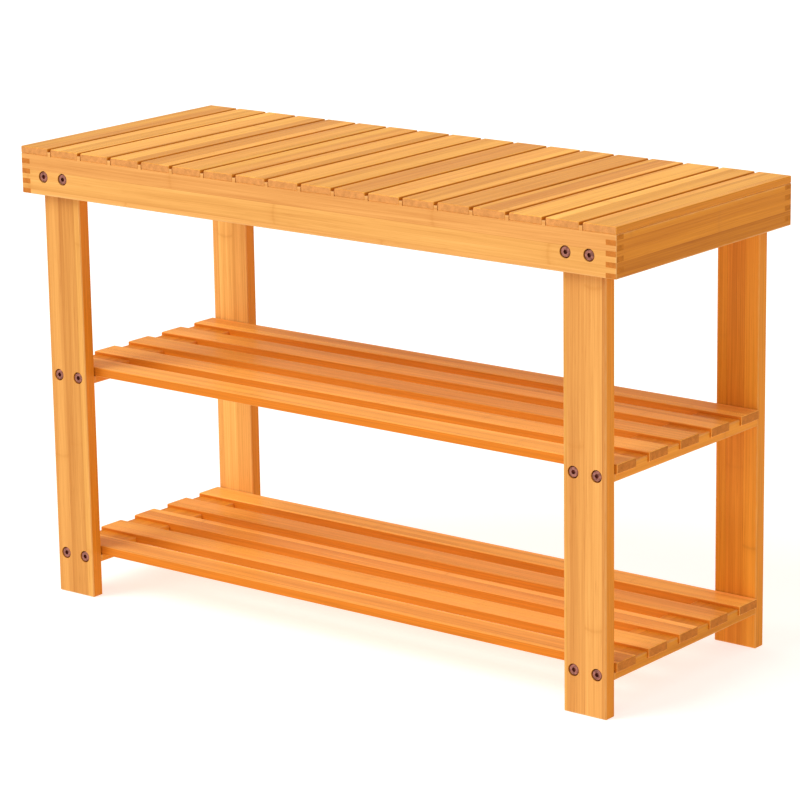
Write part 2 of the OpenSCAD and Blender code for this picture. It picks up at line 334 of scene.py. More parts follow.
# Sockets of a Mix node that mixes colours
MIX_FACTOR = 0
MIX_A = 6
MIX_B = 7
MIX_RESULT = 2

# Colours that the groups' inputs start with
PLAIN_BAMBOO = (0.66, 0.32, 0.09, 1.0)
PLAIN_MARK = (0.30, 0.11, 0.03, 1.0)
PLAIN_END = (0.43, 0.15, 0.035, 1.0)
PLAIN_EDGE = (0.60, 0.19, 0.026, 1.0)
PLAIN_METAL = (0.4, 0.4, 0.4, 1.0)
PLAIN_TARNISH = (0.05, 0.03, 0.03, 1.0)

# Changes in a metre of the streaks, fibres and flecks, along and across the grain
STREAKS = (2.2, 130.0)
FIBRES = (9.0, 900.0)
FLECKS = (40.0, 1500.0)
STREAK_DETAIL = 3.0
STREAK_ROUGHNESS = 0.55
FIBRE_DETAIL = 2.0
FIBRE_ROUGHNESS = 0.6
FLECK_DETAIL = 1.0
FLECK_SPAN = (0.64, 0.80)

# Strips: how far a shift and a strip's own chance move the figure, and how far streaks wander
STRIPS_A_SHIFT = 3.7
STRIP_SLIDE = 9.0
STREAK_WANDER = 0.004
WANDER_SCALE = 5.0
GLUE_LINE_WIDTH = 0.0005

# Stem joints: each strip's place on the stem, the bow and ragged edge of a mark, its blotch
STEM_SLIDE = 5.0
JOINT_BOW = 0.006
JOINT_RAG = 0.003
BLOTCH_WIDTH = 0.009
JOINT_DARK = 0.20
BLOTCH_DARK = 0.10

# How strongly each effect changes the bamboo's tone
STRIP_TONE = 0.20
STREAK_TONE = 0.42
FIBRE_TONE = 0.34
GLUE_TONE = 0.10
FLECK_TONE = 0.14

# A darker tone is redder: how much faster than red the green and blue fall, and a strip's hue
TONE_GREEN_FALL = 1.5
TONE_BLUE_FALL = 2.1
STRIP_HUE = 0.08

# Shares of fibres, streaks and joints in the bamboo's relief
FIBRE_RELIEF = 0.6
STREAK_RELIEF = 0.4
JOINT_RELIEF = 0.5

# Cut ends and edges: how squarely a surface faces before its colour turns, their streaks and
# clouds, and the dots of the fibre bundles
EDGE_FACING = (0.55, 0.95)
END_FACING = (0.75, 0.92)
SHADE_FROM = (0.3, 0.7)
SHADE_TO = (0.86, 1.14)
BUNDLES = 1100.0
BUNDLE_SPAN = (0.15, 0.45)
BUNDLE_DARK = 0.22
BUNDLE_COLOUR = (0.20, 0.06, 0.012, 1.0)
END_CLOUDS = 220.0
SOFT_DETAIL = 3.0

# Painted highlight along the arrises: its colour and how ragged its edge is
ARRIS_HIGHLIGHT_COLOUR = (0.92, 0.62, 0.30, 1.0)
ARRIS_HIGHLIGHT_NOISE = 60.0
ARRIS_HIGHLIGHT_RAG = 0.002

# Lacquer: how its roughness drifts and rises, its smoothest, and its coat
DRIFT_NOISE = 9.0
DRIFT = 0.16
FIBRE_ROUGHENS = 0.14
END_ROUGHENS = 0.24
SMOOTHEST = 0.12
COAT = 0.12
COAT_LOST_AT_END = 0.10

# Metal: its clouds of tarnish and its turning marks
TARNISH_NOISE = 420.0
TARNISH_DETAIL = 4.0
TARNISH_SPAN = (0.35, 0.70)
TARNISH_AMOUNT = 0.55
TARNISH_ROUGHENS = 0.22
TURNING_SCALE = (4000.0, 300.0, 4000.0)
TURNING_DETAIL = 2.0


class Wiring:
    """Adds and links the nodes of one tree, and lays them out in a row."""

    def __init__(self, tree):
        self.tree = tree
        self.column = 0

    def node(self, kind, **settings):
        """A node of the given kind with its settings."""
        made = self.tree.nodes.new(kind)
        made.location = (self.column * NODE_STEP, -(self.column % ROWS) * ROW_STEP)
        self.column += 1
        for key, value in settings.items():
            setattr(made, key, value)
        return made

    def feed(self, socket, value):
        """Links an output to the socket, or sets the socket's own value."""
        if isinstance(value, bpy.types.NodeSocket):
            self.tree.links.new(value, socket)
        elif value is not None:
            socket.default_value = value

    def math(self, operation, a, b=None, clamp=False):
        """Output of a Math node."""
        made = self.node("ShaderNodeMath", operation=operation, use_clamp=clamp)
        for socket, value in zip(made.inputs, (a, b)):
            self.feed(socket, value)
        return made.outputs[0]

    def times(self, a, b):
        """Product of two numbers."""
        return self.math("MULTIPLY", a, b)

    def plus(self, a, b):
        """Sum of two numbers."""
        return self.math("ADD", a, b)

    def minus(self, a, b):
        """First number less the second."""
        return self.math("SUBTRACT", a, b)

    def swing(self, value, amount):
        """A value from 0 to 1 made a swing about zero, as wide as the amount."""
        return self.times(self.minus(value, 0.5), amount)

    def vector(self, operation, a, b=None):
        """Output of a Vector Math node: its number where it has one, or else its vector."""
        made = self.node("ShaderNodeVectorMath", operation=operation)
        for socket, value in zip(made.inputs, (a, b)):
            self.feed(socket, value)
        return made.outputs["Value" if operation == "DOT_PRODUCT" else "Vector"]

    def shade(self, colour, amount):
        """A colour times a number."""
        return self.vector("MULTIPLY", colour, self.join(amount, amount, amount))

    def mix(self, factor, a, b):
        """Colour output of a Mix node."""
        made = self.node("ShaderNodeMix", data_type="RGBA")
        self.feed(made.inputs[MIX_FACTOR], factor)
        self.feed(made.inputs[MIX_A], a)
        self.feed(made.inputs[MIX_B], b)
        return made.outputs[MIX_RESULT]

    def ramp(self, value, low, high, to_low=0.0, to_high=1.0, smooth=False):
        """Value mapped from one span to another, and held at its ends."""
        blend = "SMOOTHSTEP" if smooth else "LINEAR"
        made = self.node("ShaderNodeMapRange", interpolation_type=blend)
        for socket, number in zip(made.inputs, (value, low, high, to_low, to_high)):
            self.feed(socket, number)
        return made.outputs[0]

    def near(self, distance, reach):
        """1 at no distance, falling smoothly to 0 at the reach."""
        return self.ramp(distance, 0.0, reach, 1.0, 0.0, smooth=True)

    def noise(self, place, scale, detail=2.0, roughness=0.5):
        """Noise from 0 to 1 at a place."""
        made = self.node("ShaderNodeTexNoise", noise_dimensions="3D")
        self.feed(made.inputs["Vector"], place)
        self.feed(made.inputs["Scale"], scale)
        self.feed(made.inputs["Detail"], detail)
        self.feed(made.inputs["Roughness"], roughness)
        return made.outputs["Fac"]

    def split(self, vector):
        """The three outputs of a Separate XYZ node."""
        made = self.node("ShaderNodeSeparateXYZ")
        self.feed(made.inputs[0], vector)
        return made.outputs[0], made.outputs[1], made.outputs[2]

    def join(self, x, y, z):
        """Output of a Combine XYZ node."""
        made = self.node("ShaderNodeCombineXYZ")
        for socket, value in zip(made.inputs, (x, y, z)):
            self.feed(socket, value)
        return made.outputs[0]

    def bump(self, height, strength, depth):
        """Normal of a surface with the given relief."""
        made = self.node("ShaderNodeBump")
        self.feed(made.inputs["Strength"], strength)
        self.feed(made.inputs["Distance"], depth)
        self.feed(made.inputs["Height"], height)
        return made.outputs[0]

    def group(self, tree, **values):
        """A group node with the named inputs fed. Underscores stand for spaces."""
        made = self.node("ShaderNodeGroup", node_tree=tree)
        for key, value in values.items():
            self.feed(made.inputs[key.replace("_", " ")], value)
        return made


def new_group(name, inputs, outputs):
    """An empty shader node group with named sockets, its wiring, and its two end nodes.

    Inputs are (name, kind, default) and outputs are (name, kind), where kind is Float,
    Vector or Color.
    """
    tree = bpy.data.node_groups.new(name, "ShaderNodeTree")
    for label, kind, default in inputs:
        socket = tree.interface.new_socket(
            label, in_out="INPUT", socket_type=f"NodeSocket{kind}"
        )
        socket.default_value = default
    for label, kind in outputs:
        tree.interface.new_socket(label, in_out="OUTPUT", socket_type=f"NodeSocket{kind}")
    wiring = Wiring(tree)
    given = wiring.node("NodeGroupInput").outputs
    return tree, wiring, given, wiring.node("NodeGroupOutput").inputs


def bamboo_figure_group():
    """Figure of edge-glued bamboo: strips of their own tone, broad streaks, fine fibres, and the
    marks of the stem's joints, which sit at another place in each strip."""
    tree, w, given, out = new_group(
        "Bamboo figure",
        [
            ("Place", "Vector", (0.0, 0.0, 0.0)),
            ("Shift", "Float", 0.0),
            ("Bamboo", "Color", PLAIN_BAMBOO),
            ("Joint Mark", "Color", PLAIN_MARK),
            ("Strip Width", "Float", 0.019),
            ("Joint Spacing", "Float", 0.31),
            ("Joint Width", "Float", 0.0026),
            ("Contrast", "Float", 1.0),
        ],
        [("Color", "Color"), ("Fibre", "Float"), ("Height", "Float")],
    )
    along, across, through = w.split(given["Place"])

    # Strips: each has a number, and its own random tone and place along the stem
    strip_at = w.plus(
        w.math("DIVIDE", across, given["Strip Width"]), w.times(given["Shift"], STRIPS_A_SHIFT)
    )
    strip = w.math("FLOOR", strip_at)
    chance = w.node("ShaderNodeTexWhiteNoise", noise_dimensions="2D")
    w.feed(chance.inputs["Vector"], w.join(strip, given["Shift"], 0.0))
    strip_tone, strip_slide, strip_hue = w.split(chance.outputs["Color"])
    mark_strength = chance.outputs["Value"]

    # Glue lines: a faint dark line where two strips meet
    within = w.minus(strip_at, strip)
    nearer_edge = w.math("MINIMUM", within, w.minus(1.0, within))
    glue_line = w.near(w.times(nearer_edge, given["Strip Width"]), GLUE_LINE_WIDTH)

    # Streaks, fibres and flecks: noise drawn out along the grain
    slid = w.plus(along, w.times(strip_slide, STRIP_SLIDE))
    wander = w.swing(w.noise(w.join(slid, strip, given["Shift"]), WANDER_SCALE), STREAK_WANDER)
    bent = w.plus(across, wander)

    def drawn_out(scales, detail, roughness=0.5):
        """Noise whose scales are given along and across the grain."""
        lengthwise, crosswise = scales
        place = w.join(
            w.times(slid, lengthwise), w.times(bent, crosswise), w.times(through, crosswise)
        )
        return w.noise(place, 1.0, detail, roughness)

    broad = drawn_out(STREAKS, STREAK_DETAIL, STREAK_ROUGHNESS)
    fine = drawn_out(FIBRES, FIBRE_DETAIL, FIBRE_ROUGHNESS)
    flecks = drawn_out(FLECKS, FLECK_DETAIL)

    # Stem joints: a thin curved mark across each strip in a soft darker blotch
    turns = w.plus(
        w.math("DIVIDE", along, given["Joint Spacing"]), w.times(strip_slide, STEM_SLIDE)
    )
    bow = w.times(w.math("SINE", w.times(within, math.pi)), JOINT_BOW)
    offset = w.minus(w.math("FRACT", w.plus(turns, bow)), 0.5)
    from_joint = w.times(w.math("ABSOLUTE", offset), given["Joint Spacing"])
    ragged = w.plus(from_joint, w.swing(fine, JOINT_RAG))
    joint = w.near(ragged, given["Joint Width"])
    blotch = w.near(ragged, BLOTCH_WIDTH)

    # Tone: every effect scales the bamboo's colour round its own value
    tone = w.plus(w.swing(strip_tone, STRIP_TONE), 1.0)
    tone = w.plus(tone, w.swing(broad, STREAK_TONE))
    tone = w.plus(tone, w.swing(fine, FIBRE_TONE))
    tone = w.minus(tone, w.times(glue_line, GLUE_TONE))
    tone = w.minus(tone, w.times(w.ramp(flecks, *FLECK_SPAN), FLECK_TONE))
    tone = w.plus(w.times(w.minus(tone, 1.0), given["Contrast"]), 1.0)

    # Colour: green and blue fall faster than red, and the marks darken what is left
    deep = w.math("POWER", tone, TONE_GREEN_FALL)
    deepest = w.math("POWER", tone, TONE_BLUE_FALL)
    rosy = w.swing(strip_hue, STRIP_HUE)
    tint = w.join(tone, w.minus(deep, rosy), w.plus(deepest, rosy))
    toned = w.vector("MULTIPLY", given["Bamboo"], tint)
    dark = w.plus(w.times(joint, JOINT_DARK), w.times(blotch, BLOTCH_DARK))
    w.feed(out["Color"], w.mix(w.times(dark, mark_strength), toned, given["Joint Mark"]))
    w.feed(out["Fibre"], fine)
    relief = w.plus(w.times(fine, FIBRE_RELIEF), w.times(broad, STREAK_RELIEF))
    sunk = w.plus(w.times(joint, JOINT_RELIEF), glue_line)
    w.feed(out["Height"], w.minus(relief, sunk))
    return tree


def end_grain_group():
    """Cut ends and narrow edges of bamboo. Where the surface faces along the grain, the colour
    turns to that of end grain, dotted with the darker bundles of fibres. Where it faces along
    the edge axis, it turns to the edges' colour, partly painted shade, and keeps its streaks."""
    tree, w, given, out = new_group(
        "Bamboo end grain",
        [
            ("Color", "Color", PLAIN_BAMBOO),
            ("End Color", "Color", PLAIN_END),
            ("Place", "Vector", (0.0, 0.0, 0.0)),
            ("Facing", "Vector", (0.0, 0.0, 1.0)),
            ("Grain", "Vector", (1.0, 0.0, 0.0)),
            ("Edge Axis", "Vector", (0.0, 0.0, 0.0)),
            ("Edge Color", "Color", PLAIN_EDGE),
            ("Fibre", "Float", 0.5),
        ],
        [("Color", "Color"), ("End", "Float")],
    )
    sideways = w.math("ABSOLUTE", w.vector("DOT_PRODUCT", given["Facing"], given["Edge Axis"]))
    streaked = w.shade(given["Edge Color"], w.ramp(given["Fibre"], *SHADE_FROM, *SHADE_TO))
    edged = w.mix(w.ramp(sideways, *EDGE_FACING, smooth=True), given["Color"], streaked)
    towards = w.math("ABSOLUTE", w.vector("DOT_PRODUCT", given["Facing"], given["Grain"]))
    end = w.ramp(towards, *END_FACING, smooth=True)
    _, across, through = w.split(given["Place"])
    bundles = w.node("ShaderNodeTexVoronoi", voronoi_dimensions="2D", feature="F1")
    w.feed(bundles.inputs["Vector"], w.join(across, through, 0.0))
    w.feed(bundles.inputs["Scale"], BUNDLES)
    dot = w.ramp(bundles.outputs["Distance"], *BUNDLE_SPAN, 1.0, 0.0)
    cloud = w.ramp(w.noise(given["Place"], END_CLOUDS, SOFT_DETAIL), *SHADE_FROM, *SHADE_TO)
    clouded = w.shade(given["End Color"], cloud)
    dotted = w.mix(w.times(dot, BUNDLE_DARK), clouded, BUNDLE_COLOUR)
    w.feed(out["Color"], w.mix(end, edged, dotted))
    w.feed(out["End"], end)
    return tree


def painted_arris_highlight_group():
    """Painted highlight along the arrises of a board, a paler band where light catches its edges:
    the second-nearest of the board's six planes is close only along an arris."""
    tree, w, given, out = new_group(
        "Painted arris highlight",
        [
            ("Color", "Color", PLAIN_BAMBOO),
            ("Place", "Vector", (0.0, 0.0, 0.0)),
            ("Centre", "Vector", (0.0, 0.0, 0.0)),
            ("Half Size", "Vector", (0.5, 0.5, 0.5)),
            ("Width", "Float", 0.002),
            ("Strength", "Float", 0.25),
        ],
        [("Color", "Color")],
    )
    from_centre = w.vector("ABSOLUTE", w.vector("SUBTRACT", given["Place"], given["Centre"]))
    x, y, z = w.split(w.vector("SUBTRACT", given["Half Size"], from_centre))
    lower = w.math("MINIMUM", x, y)
    upper = w.math("MAXIMUM", x, y)
    second = w.math("MAXIMUM", lower, w.math("MINIMUM", upper, z))
    ragged = w.plus(
        second, w.swing(w.noise(given["Place"], ARRIS_HIGHLIGHT_NOISE, SOFT_DETAIL), ARRIS_HIGHLIGHT_RAG)
    )
    # Painted highlight: a paler band along each arris
    arris_highlight = w.times(w.near(ragged, given["Width"]), given["Strength"])
    w.feed(out["Color"], w.mix(arris_highlight, given["Color"], ARRIS_HIGHLIGHT_COLOUR))
    return tree


def lacquer_group():
    """Satin lacquer: roughness that drifts over the board, is a little higher on fibres, and is
    much higher on thirsty end grain."""
    tree, w, given, out = new_group(
        "Satin lacquer",
        [
            ("Place", "Vector", (0.0, 0.0, 0.0)),
            ("Fibre", "Float", 0.5),
            ("End", "Float", 0.0),
            ("Base", "Float", 0.38),
        ],
        [("Roughness", "Float"), ("Coat", "Float")],
    )
    drift = w.swing(w.noise(given["Place"], DRIFT_NOISE, SOFT_DETAIL), DRIFT)
    fibres = w.swing(given["Fibre"], FIBRE_ROUGHENS)
    ends = w.times(given["End"], END_ROUGHENS)
    rough = w.plus(w.plus(given["Base"], drift), w.plus(fibres, ends))
    w.feed(out["Roughness"], w.math("MAXIMUM", rough, SMOOTHEST))
    lost = w.times(given["End"], COAT_LOST_AT_END)
    w.feed(out["Coat"], w.math("SUBTRACT", COAT, lost, clamp=True))
    return tree


def metal_group():
    """Turned and plated metal: fine rings of machining and a cloudy tarnish."""
    tree, w, given, out = new_group(
        "Turned metal",
        [
            ("Place", "Vector", (0.0, 0.0, 0.0)),
            ("Metal", "Color", PLAIN_METAL),
            ("Tarnish", "Color", PLAIN_TARNISH),
            ("Base", "Float", 0.3),
        ],
        [("Color", "Color"), ("Roughness", "Float"), ("Height", "Float")],
    )
    clouds = w.noise(given["Place"], TARNISH_NOISE, TARNISH_DETAIL)
    cloud = w.ramp(clouds, *TARNISH_SPAN, smooth=True)
    marks = w.noise(w.vector("MULTIPLY", given["Place"], TURNING_SCALE), 1.0, TURNING_DETAIL)
    tarnished = w.times(cloud, TARNISH_AMOUNT)
    w.feed(out["Color"], w.mix(tarnished, given["Metal"], given["Tarnish"]))
    w.feed(out["Roughness"], w.plus(given["Base"], w.times(cloud, TARNISH_ROUGHENS)))
    w.feed(out["Height"], marks)
    return tree


GROUPS = {}


def group(name):
    """A node group by name, built the first time that a material asks for it."""
    makers = {
        "figure": bamboo_figure_group,
        "end": end_grain_group,
        "arris": painted_arris_highlight_group,
        "lacquer": lacquer_group,
        "metal": metal_group,
    }
    if name not in GROUPS:
        GROUPS[name] = makers[name]()
    return GROUPS[name]


# ---- Materials ----

# Depth of the bamboo's fibres and of the metal's turning marks, and how strongly they show
FIBRE_DEPTH = 0.0003
FIBRE_STRENGTH = 0.16
TURNING_DEPTH = 0.0001
TURNING_STRENGTH = 0.2

# The bamboo's satin comes from a weak coat, and hardly at all from its own surface
COAT_ROUGHNESS = 0.28
BAMBOO_SPECULAR = 0.02

# How much faster than red the green and the blue of a darker board fall
GREEN_FALL = 1.6
BLUE_FALL = 2.2


def opaque(rgb):
    """A colour with full alpha."""
    return (*rgb, 1.0)


def new_material(name):
    """A material with a Principled shader, its wiring, and the shader's inputs."""
    material = bpy.data.materials.new(name)
    material.use_nodes = True
    material.node_tree.nodes.clear()
    wiring = Wiring(material.node_tree)
    shader = wiring.node("ShaderNodeBsdfPrincipled")
    output = wiring.node("ShaderNodeOutputMaterial")
    wiring.feed(output.inputs["Surface"], shader.outputs[0])
    return material, wiring, shader.inputs


def place_along_board(wiring, grain):
    """The coordinates node, the place along, across and through the board, and its grain's
    axis."""
    coordinates = wiring.node("ShaderNodeTexCoord")
    parts = dict(zip("XYZ", wiring.split(coordinates.outputs["Object"])))
    place = wiring.join(*(parts[axis] for axis in grain))
    return coordinates, place, axis_vector(grain[0])


def bamboo_material(name, grain, rgb, end_rgb, shift=None, box=None, edge_rgb=None, contrast=1.0):
    """Lacquered bamboo. Without a shift, tone and shift come from the piece's own attributes.
    A box puts a painted highlight along the arrises of a board that fills it. Edges get a
    colour only if one is given."""
    settings = bpy.context.scene.bench
    material, w, shader = new_material(name)
    coordinates, place, grain_axis = place_along_board(w, grain)

    bamboo = opaque(rgb)
    if shift is None:
        shift = w.node("ShaderNodeAttribute", attribute_name="figure_shift").outputs["Fac"]
        tone = w.node("ShaderNodeAttribute", attribute_name="board_tone").outputs["Fac"]
        tint = w.join(tone, w.math("POWER", tone, GREEN_FALL), w.math("POWER", tone, BLUE_FALL))
        bamboo = w.vector("MULTIPLY", tuple(rgb), tint)

    figure = w.group(
        group("figure"),
        Place=place, Shift=shift, Bamboo=bamboo, Joint_Mark=opaque(settings.bamboo.joint_mark),
        Strip_Width=settings.board.strip_width, Joint_Spacing=settings.board.joint_spacing,
        Joint_Width=settings.board.joint_width, Contrast=contrast,
    )
    colour_out = figure.outputs["Color"]
    if box is not None:
        low, high = (np.array(corner) for corner in box)
        # Painted highlight along the arrises of the board that fills the box
        arris_highlight = w.group(
            group("arris"),
            Color=colour_out, Place=coordinates.outputs["Object"],
            Centre=tuple((low + high) / 2), Half_Size=tuple((high - low) / 2),
        )
        colour_out = arris_highlight.outputs["Color"]
    end = w.group(
        group("end"),
        Color=colour_out, End_Color=opaque(end_rgb), Place=place,
        Facing=coordinates.outputs["Normal"], Grain=grain_axis, Fibre=figure.outputs["Fibre"],
    )
    if edge_rgb is not None:
        w.feed(end.inputs["Edge Color"], opaque(edge_rgb))
        w.feed(end.inputs["Edge Axis"], axis_vector(grain[1]))
    lacquer = w.group(
        group("lacquer"),
        Place=coordinates.outputs["Object"], Fibre=figure.outputs["Fibre"], End=end.outputs["End"],
    )
    normal = w.bump(figure.outputs["Height"], FIBRE_STRENGTH, FIBRE_DEPTH)

    w.feed(shader["Base Color"], end.outputs["Color"])
    w.feed(shader["Roughness"], lacquer.outputs["Roughness"])
    w.feed(shader["Coat Weight"], lacquer.outputs["Coat"])
    w.feed(shader["Normal"], normal)
    shader["Coat Roughness"].default_value = COAT_ROUGHNESS
    shader["Specular IOR Level"].default_value = BAMBOO_SPECULAR
    return material


def metal_material(name, rgb, tarnish, roughness):
    """Turned metal with tarnish in its clouds."""
    material, w, shader = new_material(name)
    coordinates = w.node("ShaderNodeTexCoord")
    metal = w.group(
        group("metal"),
        Place=coordinates.outputs["Object"], Metal=opaque(rgb), Tarnish=opaque(tarnish),
        Base=roughness,
    )
    normal = w.bump(metal.outputs["Height"], TURNING_STRENGTH, TURNING_DEPTH)
    w.feed(shader["Base Color"], metal.outputs["Color"])
    w.feed(shader["Roughness"], metal.outputs["Roughness"])
    w.feed(shader["Normal"], normal)
    shader["Metallic"].default_value = 1.0
    return material


def finish_node(name, material):
    """Gives a node that stays the new material in every slot."""
    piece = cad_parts[name]
    if not piece.material_slots:
        piece.data.materials.append(material)
    for slot in piece.material_slots:
        slot.material = material


# ---- Pieces ----

# Seeds and reach of the tones that differ from slat to slat, and the span of their shifts
SEAT_SEED = 11
SEAT_TONES = (0.95, 1.05)
SHELF_SEED = 23
SHELF_TONES = (0.96, 1.04)
LAST_SHIFT = 20.0

# Contrast of the bamboo's figure, where it isn't 1
SLAT_CONTRAST = 1.5
BOARD_CONTRAST = 1.3

# Each board's shift of its figure: the first board's, and the step to the next
BOX_SHIFT = (0.4, 2.3)
LEG_SHIFT = (3.1, 1.7)
CROSS_SHIFT = (5.2, 1.9)

# Tarnish and roughness of each metal
BOLT_TARNISH = (0.030, 0.012, 0.012)
BOLT_ROUGHNESS = 0.30
INSERT_TARNISH = (0.20, 0.11, 0.03)
INSERT_ROUGHNESS = 0.32
SCREW_TARNISH = (0.20, 0.19, 0.17)
SCREW_ROUGHNESS = 0.36


def figure_shift(first_and_step, number):
    """Shift of the figure of the numbered board in a run of boards."""
    first, step = first_and_step
    return step * number + first


def tones_and_shifts(seed, tones, count):
    """A random tone and a random shift of the figure for each slat."""
    draw = np.random.default_rng(seed)
    return draw.uniform(*tones, count), draw.uniform(0.0, LAST_SHIFT, count)


def replace_with_rounded_boards(nodes, radius, material, slot, tones, shifts):
    """Makes each slat again as a rounded board in the same box."""
    if not nodes:
        raise RuntimeError(f"The frame has no slats for {slot}")
    steps = bpy.context.scene.bench.board.arc_steps
    for name, tone, shift in zip(nodes, tones, shifts):
        low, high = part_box(name)
        mesh = board_mesh(f"{name}_rounded", low, high, radius, steps, tone, shift)
        mesh.materials.append(material)
        piece = bpy.data.objects.new(f"{name}_rounded", mesh)
        bpy.context.scene.collection.objects.link(piece)
        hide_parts(name)
        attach(piece, "root")


class BENCH_OT_seat_slats(bpy.types.Operator):
    """Make the seat's slats as rounded boards with the grain across the bench"""

    bl_idname = "bench.seat_slats"
    bl_label = "Seat slats"

    def execute(self, context):
        settings = context.scene.bench
        tones, shifts = tones_and_shifts(SEAT_SEED, SEAT_TONES, len(SEAT_SLATS))
        bamboo = settings.bamboo
        material = bamboo_material(
            "seat_slat_bamboo", GRAIN_Y, bamboo.seat, bamboo.slat_end, edge_rgb=bamboo.seat_edge,
            contrast=SLAT_CONTRAST,
        )
        replace_with_rounded_boards(
            SEAT_SLATS, settings.board.seat_arris, material, "seat_slat_bamboo", tones, shifts
        )
        return {"FINISHED"}


class BENCH_OT_shelf_slats(bpy.types.Operator):
    """Make both shelves' slats as rounded boards with the grain along the bench"""

    bl_idname = "bench.shelf_slats"
    bl_label = "Shelf slats"

    def execute(self, context):
        settings = context.scene.bench
        tones, shifts = tones_and_shifts(SHELF_SEED, SHELF_TONES, len(SHELF_SLATS))
        bamboo = settings.bamboo
        material = bamboo_material(
            "shelf_slat_bamboo", GRAIN_X, bamboo.shelf, bamboo.end_grain,
            edge_rgb=bamboo.shelf_edge, contrast=SLAT_CONTRAST,
        )
        replace_with_rounded_boards(
            SHELF_SLATS, settings.board.shelf_arris, material, "shelf_slat_bamboo", tones, shifts
        )
        return {"FINISHED"}


class BENCH_OT_seat_box(bpy.types.Operator):
    """Finish the aprons, the end boards and the bearer"""

    bl_idname = "bench.seat_box"
    bl_label = "Seat box"

    def execute(self, context):
        bamboo = context.scene.bench.bamboo
        boards = [(name, GRAIN_X, bamboo.apron, bamboo.apron_end) for name in APRONS]
        boards += [(name, GRAIN_Y, bamboo.end_board, bamboo.end_grain) for name in END_BOARDS]
        boards += [("seat_bearer", GRAIN_X, bamboo.bearer, bamboo.end_grain)]
        for number, (name, grain, rgb, end_rgb) in enumerate(boards):
            material = bamboo_material(
                f"{name}_bamboo", upright(grain), rgb, end_rgb,
                shift=figure_shift(BOX_SHIFT, number), box=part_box(name), contrast=BOARD_CONTRAST,
            )
            finish_node(name, material)
        return {"FINISHED"}


class BENCH_OT_legs(bpy.types.Operator):
    """Finish the four legs, with the grain upright"""

    bl_idname = "bench.legs"
    bl_label = "Legs"

    def execute(self, context):
        bamboo = context.scene.bench.bamboo
        colours = (bamboo.leg, bamboo.leg, bamboo.back_left_leg, bamboo.back_right_leg)
        for number, (name, rgb) in enumerate(zip(LEGS, colours)):
            material = bamboo_material(
                f"{name}_bamboo", GRAIN_Z, rgb, bamboo.end_grain,
                shift=figure_shift(LEG_SHIFT, number), box=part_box(name),
                edge_rgb=bamboo.leg_edge, contrast=BOARD_CONTRAST,
            )
            finish_node(name, material)
        return {"FINISHED"}


class BENCH_OT_cross_boards(bpy.types.Operator):
    """Finish the shelves' cross boards, with the grain across the bench"""

    bl_idname = "bench.cross_boards"
    bl_label = "Cross boards"

    def execute(self, context):
        bamboo = context.scene.bench.bamboo
        for number, name in enumerate(CROSS_BOARDS):
            material = bamboo_material(
                f"{name}_bamboo", GRAIN_Y, bamboo.cross_board, bamboo.end_grain,
                shift=figure_shift(CROSS_SHIFT, number), box=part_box(name),
            )
            finish_node(name, material)
        return {"FINISHED"}


class BENCH_OT_fasteners(bpy.types.Operator):
    """Finish the bolts, the threaded inserts and the wood screws"""

    bl_idname = "bench.fasteners"
    bl_label = "Fasteners"

    def execute(self, context):
        metal = context.scene.bench.metal
        for names, label, rgb, tarnish, roughness in (
            (BOLTS, "bolt_steel", metal.bolt, BOLT_TARNISH, BOLT_ROUGHNESS),
            (INSERTS, "insert_brass", metal.insert, INSERT_TARNISH, INSERT_ROUGHNESS),
            (SCREWS, "screw_zinc", metal.screw, SCREW_TARNISH, SCREW_ROUGHNESS),
        ):
            material = metal_material(label, rgb, tarnish, roughness)
            for name in names:
                finish_node(name, material)
        return {"FINISHED"}


# ---- Stage ----

FLOOR_RINGS = 24
FLOOR_SPOKES = 72
FLOOR_CLOUDS = 3.0
FLOOR_CLOUD_SPAN = (0.3, 0.7)
FLOOR_DARKEST = 0.985
FLOOR_ROUGHNESS = 0.9
FLOOR_SPECULAR = 0.1
KEY_DISTANCE = 4.0
SENSOR_WIDTH = 36.0
NEAREST_SEEN = 0.05
FARTHEST_SEEN = 120.0


def floor_mesh(radius, rings=FLOOR_RINGS, spokes=FLOOR_SPOKES):
    """Round floor at height 0. The radius grows with the cube of the first parameter, so the
    rings crowd near the bench, and the second parameter is the angle."""
    share = np.linspace(0.0, 1.0, rings + 1)[1:] ** 3
    angle = np.linspace(0.0, 2 * math.pi, spokes, endpoint=False)
    r, a = np.meshgrid(share * radius, angle, indexing="ij")
    points = np.stack([r * np.cos(a), r * np.sin(a), np.zeros_like(r)], axis=-1).reshape(-1, 3)
    here = np.arange(rings * spokes).reshape(rings, spokes)
    along = np.roll(here, -1, axis=1)
    quads = np.stack([here[:-1], here[1:], along[1:], along[:-1]], axis=-1).reshape(-1, 4)
    mesh = bpy.data.meshes.new("studio_floor")
    mesh.from_pydata(points.tolist(), [], quads.tolist() + [here[0].tolist()])
    return mesh


def floor_material(rgb, glow):
    """Matt pale studio paper with a faint cloudiness, which gives off a little light."""
    material, w, shader = new_material("studio_floor")
    coordinates = w.node("ShaderNodeTexCoord")
    clouds = w.noise(coordinates.outputs["Object"], FLOOR_CLOUDS, SOFT_DETAIL)
    shade = w.ramp(clouds, *FLOOR_CLOUD_SPAN, FLOOR_DARKEST, 1.0)
    w.feed(shader["Base Color"], w.shade(tuple(rgb), shade))
    shader["Roughness"].default_value = FLOOR_ROUGHNESS
    shader["Specular IOR Level"].default_value = FLOOR_SPECULAR
    shader["Emission Color"].default_value = opaque((1.0, 1.0, 1.0))
    shader["Emission Strength"].default_value = glow
    return material


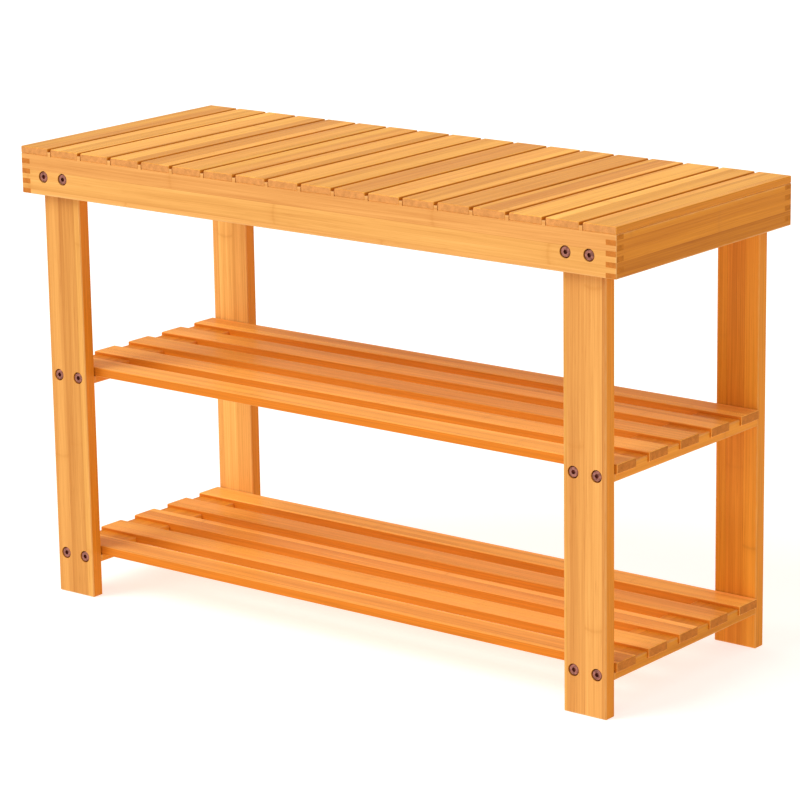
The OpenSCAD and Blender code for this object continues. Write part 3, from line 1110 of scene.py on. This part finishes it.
class BENCH_OT_stage(bpy.types.Operator):
    """Lay the floor, and set the sky, the key light and the camera"""

    bl_idname = "bench.stage"
    bl_label = "Stage"

    def execute(self, context):
        stage = context.scene.bench.stage
        mesh = floor_mesh(stage.floor_radius)
        mesh.materials.append(floor_material(stage.floor, stage.floor_glow))
        floor = bpy.data.objects.new("studio_floor", mesh)
        context.scene.collection.objects.link(floor)

        world = bpy.data.worlds.new("studio_sky")
        world.use_nodes = True
        background = world.node_tree.nodes["Background"]
        background.inputs["Color"].default_value = opaque(stage.sky_colour)
        background.inputs["Strength"].default_value = stage.sky
        context.scene.world = world
        context.scene.view_settings.view_transform = "Standard"

        lamp = bpy.data.lights.new("key_light", "SUN")
        lamp.energy = stage.key
        lamp.angle = stage.key_softness
        lamp.color = stage.key_colour
        key = bpy.data.objects.new("key_light", lamp)
        key.rotation_mode = "QUATERNION"
        from_side = Vector(stage.key_from)
        key.rotation_quaternion = from_side.to_track_quat("Z", "Y")
        key.location = from_side * KEY_DISTANCE
        context.scene.collection.objects.link(key)

        view = bpy.data.cameras.new("bench_camera")
        view.sensor_width = SENSOR_WIDTH
        view.lens = stage.lens
        view.clip_start = NEAREST_SEEN
        view.clip_end = FARTHEST_SEEN
        camera = bpy.data.objects.new("bench_camera", view)
        camera.matrix_world = camera_matrix(stage)
        context.scene.collection.objects.link(camera)
        context.scene.camera = camera
        return {"FINISHED"}


def camera_matrix(stage):
    """The camera's place and turn: azimuth about the vertical, then tilt, then roll."""
    turn = (
        Matrix.Rotation(stage.camera_azimuth, 4, "Z")
        @ Matrix.Rotation(math.pi / 2 - stage.camera_tilt, 4, "X")
        @ Matrix.Rotation(stage.camera_roll, 4, "Z")
    )
    return Matrix.Translation(Vector(stage.camera_place)) @ turn


# ---- Add-on ----


class BENCH_PT_sidebar(bpy.types.Panel):
    """Lists the bench's operators and settings in the sidebar"""

    bl_idname = "BENCH_PT_sidebar"
    bl_label = "Slatted bench"
    bl_space_type = "VIEW_3D"
    bl_region_type = "UI"
    bl_category = "Bench"

    def draw(self, context):
        settings = context.scene.bench
        for operator in STEPS:
            self.layout.operator(operator.bl_idname)
        for part in (settings.board, settings.bamboo, settings.metal, settings.stage):
            box = self.layout.box()
            for key in type(part).__annotations__:
                box.prop(part, key)


STEPS = (
    BENCH_OT_seat_slats, BENCH_OT_shelf_slats, BENCH_OT_seat_box, BENCH_OT_legs,
    BENCH_OT_cross_boards, BENCH_OT_fasteners, BENCH_OT_stage,
)
CLASSES = (
    BoardSettings, BambooSettings, MetalSettings, StageSettings, BenchSettings, *STEPS,
    BENCH_PT_sidebar,
)


def register():
    """Registers the classes and puts the settings on the scene."""
    for kind in CLASSES:
        bpy.utils.register_class(kind)
    bpy.types.Scene.bench = PointerProperty(type=BenchSettings)


def unregister():
    """Takes the settings off the scene and unregisters the classes."""
    del bpy.types.Scene.bench
    for kind in reversed(CLASSES):
        bpy.utils.unregister_class(kind)


def main():
    register()
    for operator in STEPS:
        family, name = operator.bl_idname.split(".")
        getattr(getattr(bpy.ops, family), name)()


if __name__ == "__main__":
    main()
